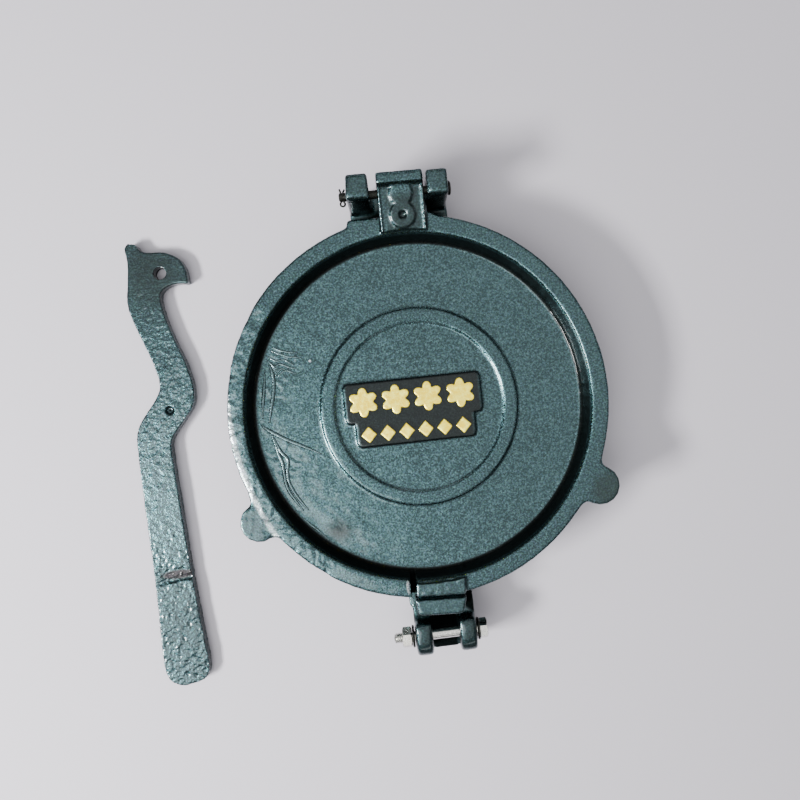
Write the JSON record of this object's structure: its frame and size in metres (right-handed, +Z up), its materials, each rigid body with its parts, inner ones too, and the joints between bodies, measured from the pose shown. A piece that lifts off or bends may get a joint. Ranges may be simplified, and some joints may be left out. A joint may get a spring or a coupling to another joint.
{
  "type": "roti press",
  "caption": "Cast-iron roti press: a footed base plate, a dished top plate that swings up on a rear hinge, and a loose bird-headed lever for the front pivot bolt.",
  "frame": {"origin": "middle of the whole layout's box on the table, press and lever together", "axes": "+Z up, +Y towards the hinge, +X away from the loose lever"},
  "size_m": [0.264, 0.267, 0.05],
  "materials": {
    "enamelled_iron": "dark green-grey hammered enamel over sand-cast iron",
    "dark_steel": "dull, paint-stained steel",
    "bright_steel": "zinc-plated steel"
  },
  "bodies": {
    "base": {"base": "enamelled_iron", "hinge_pin": "dark_steel", "split_pin": "dark_steel", "pivot_bolt": "bright_steel", "pivot_nut": "bright_steel", "head_washer": "bright_steel", "nut_washer": "bright_steel"},
    "top_plate": {"top_plate": "enamelled_iron"},
    "lever": {"lever": "enamelled_iron"}
  },
  "joints": [
    {"name": "top_plate_hinge", "type": "hinge", "parent": "base", "child": "top_plate", "pos_m": [0.029, 0.12393, 0.04], "axis": [-1, 0, 0], "range_deg": [0, 110]},
    {"name": "lever_lift", "type": "slide", "parent": "base", "child": "lever", "axis": [0, 0, 1], "range_m": [0, 0.06]}
  ]
}
